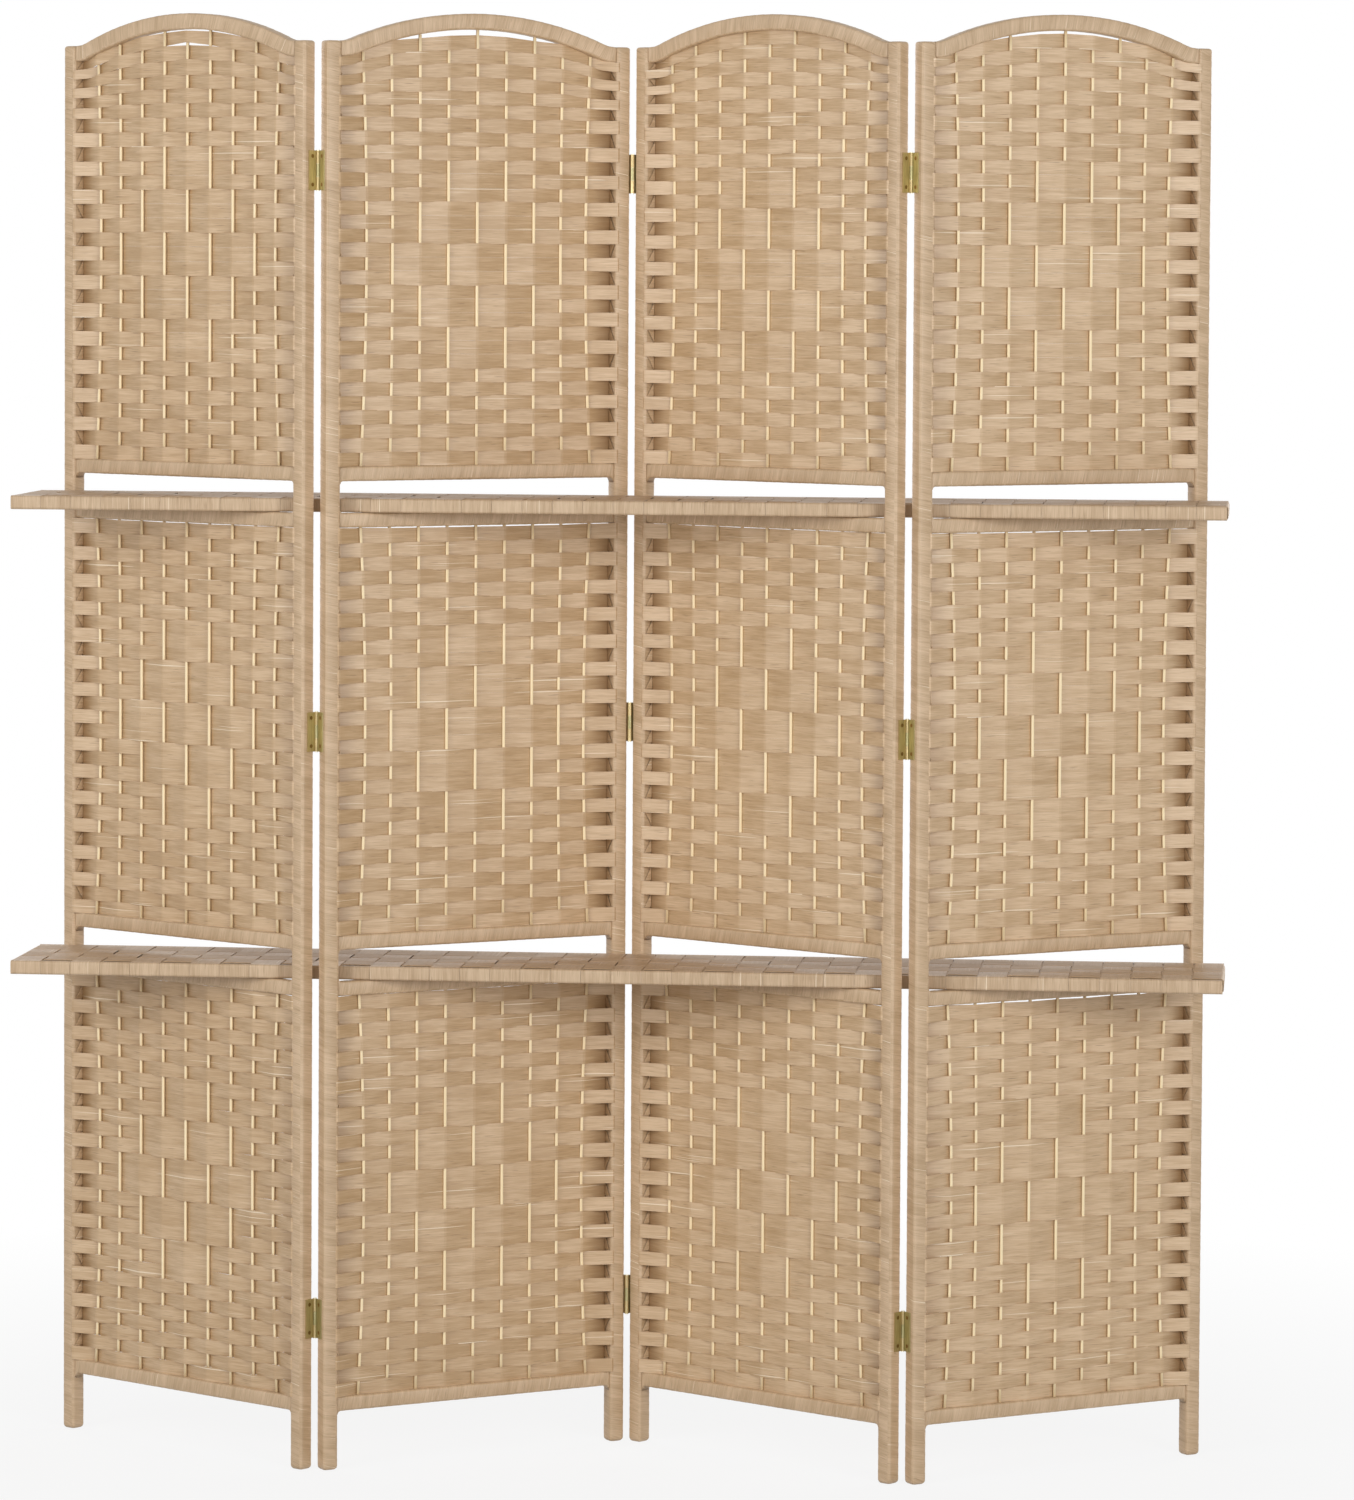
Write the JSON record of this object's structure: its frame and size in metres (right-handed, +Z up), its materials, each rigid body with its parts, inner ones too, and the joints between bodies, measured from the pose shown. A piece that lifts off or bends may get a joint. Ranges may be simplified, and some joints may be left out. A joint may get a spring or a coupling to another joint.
{
  "type": "folding screen with shelves",
  "caption": "Free-standing folding room screen of arched, diamond-woven panels hinged in a zigzag, with straight shelves threaded through slots in the panels.",
  "frame": {"origin": "middle of the screen at the floor", "axes": "+X along the shelves to the right as seen from the front, +Y from front to back, +Z up"},
  "size_m": [1.4194, 0.2422, 1.7],
  "materials": {
    "wrapped_frame": "wood wrapped in tan twisted paper fibre, matt",
    "paper_ribbon": "flat ribbon of tan paper fibre, matt with fine lengthwise streaks",
    "stake_wood": "bare pale wood, smooth",
    "hinge_brass": "plated brass, satin"
  },
  "bodies": {
    "panel_2": {"panel_2_left_stile": "wrapped_frame", "panel_2_right_stile": "wrapped_frame", "panel_2_top_arch": "wrapped_frame", "panel_2_bottom_rail": "wrapped_frame", "panel_2_lower_slot_sill": "wrapped_frame", "panel_2_lower_slot_head": "wrapped_frame", "panel_2_upper_slot_sill": "wrapped_frame", "panel_2_upper_slot_head": "wrapped_frame", "panel_2_stakes": "stake_wood", "panel_2_ribbons": "paper_ribbon", "panel_2_hinge_screws": "hinge_brass", "joint_2_left_leaves": "hinge_brass", "joint_2_pins": "hinge_brass", "joint_1_right_leaves": "hinge_brass"},
    "panel_1": {"panel_1_left_stile": "wrapped_frame", "panel_1_right_stile": "wrapped_frame", "panel_1_top_arch": "wrapped_frame", "panel_1_bottom_rail": "wrapped_frame", "panel_1_lower_slot_sill": "wrapped_frame", "panel_1_lower_slot_head": "wrapped_frame", "panel_1_upper_slot_sill": "wrapped_frame", "panel_1_upper_slot_head": "wrapped_frame", "panel_1_stakes": "stake_wood", "panel_1_ribbons": "paper_ribbon", "panel_1_hinge_screws": "hinge_brass", "joint_1_left_leaves": "hinge_brass", "joint_1_pins": "hinge_brass"},
    "panel_3": {"panel_3_left_stile": "wrapped_frame", "panel_3_right_stile": "wrapped_frame", "panel_3_top_arch": "wrapped_frame", "panel_3_bottom_rail": "wrapped_frame", "panel_3_lower_slot_sill": "wrapped_frame", "panel_3_lower_slot_head": "wrapped_frame", "panel_3_upper_slot_sill": "wrapped_frame", "panel_3_upper_slot_head": "wrapped_frame", "panel_3_stakes": "stake_wood", "panel_3_ribbons": "paper_ribbon", "panel_3_hinge_screws": "hinge_brass", "joint_3_left_leaves": "hinge_brass", "joint_3_pins": "hinge_brass", "joint_2_right_leaves": "hinge_brass"},
    "panel_4": {"panel_4_left_stile": "wrapped_frame", "panel_4_right_stile": "wrapped_frame", "panel_4_top_arch": "wrapped_frame", "panel_4_bottom_rail": "wrapped_frame", "panel_4_lower_slot_sill": "wrapped_frame", "panel_4_lower_slot_head": "wrapped_frame", "panel_4_upper_slot_sill": "wrapped_frame", "panel_4_upper_slot_head": "wrapped_frame", "panel_4_stakes": "stake_wood", "panel_4_ribbons": "paper_ribbon", "panel_4_hinge_screws": "hinge_brass", "joint_3_right_leaves": "hinge_brass"},
    "lower_shelf": {"lower_shelf_long_rails": "wrapped_frame", "lower_shelf_end_rails": "wrapped_frame", "lower_shelf_bands": "paper_ribbon"},
    "upper_shelf": {"upper_shelf_long_rails": "wrapped_frame", "upper_shelf_end_rails": "wrapped_frame", "upper_shelf_bands": "paper_ribbon"}
  },
  "joints": [
    {"name": "fold_middle", "type": "hinge", "parent": "panel_2", "child": "panel_3", "pos_m": [0, 0.10587, 0], "axis": [0, 0, -1], "range_deg": [-4, 109]},
    {"name": "fold_left", "type": "hinge", "parent": "panel_2", "child": "panel_1", "pos_m": [-0.34371, -0.10587, 0], "axis": [0, 0, -1], "range_deg": [-4, 109]},
    {"name": "fold_right", "type": "hinge", "parent": "panel_3", "child": "panel_4", "pos_m": [0.34371, -0.10587, 0], "axis": [0, 0, 1], "range_deg": [-4, 109]},
    {"name": "lower_shelf_turn", "type": "hinge", "parent": "panel_2", "child": "lower_shelf", "pos_m": [-0.17186, 0, 0], "axis": [0, 0, -1], "range_deg": [-2.01, 54.51]},
    {"name": "upper_shelf_slide", "type": "slide", "parent": "lower_shelf", "child": "upper_shelf", "axis": [1, 0, 0], "range_m": [-0.6, 0.6]}
  ],
  "couplings": [
    {"joint": "fold_left", "follows": "fold_middle", "ratio": 1},
    {"joint": "fold_right", "follows": "fold_middle", "ratio": 1},
    {"joint": "lower_shelf_turn", "follows": "fold_middle", "ratio": 0.5}
  ]
}
